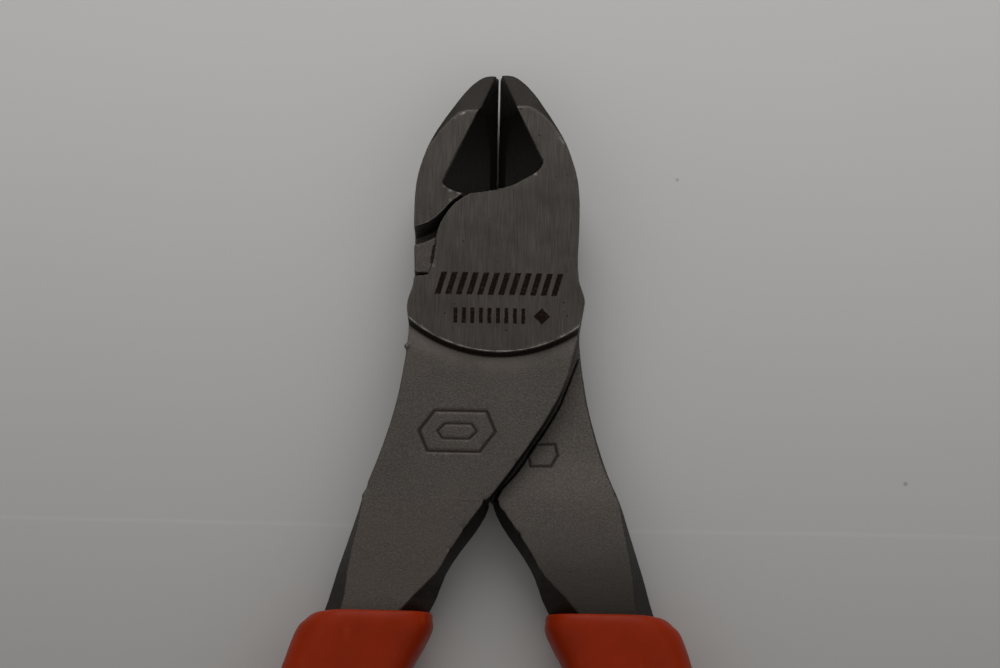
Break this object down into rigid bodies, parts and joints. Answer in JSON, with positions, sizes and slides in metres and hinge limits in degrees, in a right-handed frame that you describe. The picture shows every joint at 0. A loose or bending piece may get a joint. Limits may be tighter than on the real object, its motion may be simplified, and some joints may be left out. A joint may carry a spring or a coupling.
{
  "type": "diagonal cutting pliers",
  "caption": "Hand cutter with two bevelled jaws in a lap joint on one flush rivet, a ground boss on each cheek, forged arms and sleeved grips.",
  "frame": {"origin": "where the pivot's axis meets the back face of the head, which is the plane the pliers lie on", "axes": "+Z out of the front face along the pivot, +Y towards the jaws' tip, +X to the right seen from the front"},
  "size_m": [0.057, 0.1595, 0.0103],
  "materials": {
    "forged_steel": "ground faces with fine lines, sides and arms as blasted",
    "rivet_steel": "ground flush",
    "grip_vinyl": "satin red-orange vinyl"
  },
  "bodies": {
    "front_body": {"front_half": "forged_steel", "pivot_rivet": "rivet_steel", "left_grip": "grip_vinyl"},
    "rear_body": {"rear_half": "forged_steel", "right_grip": "grip_vinyl"}
  },
  "joints": [
    {"name": "jaw_pivot", "type": "hinge", "parent": "front_body", "child": "rear_body", "pos_m": [0, 0, 0.00515], "axis": [0, 0, 1], "range_deg": [0, 14]}
  ]
}
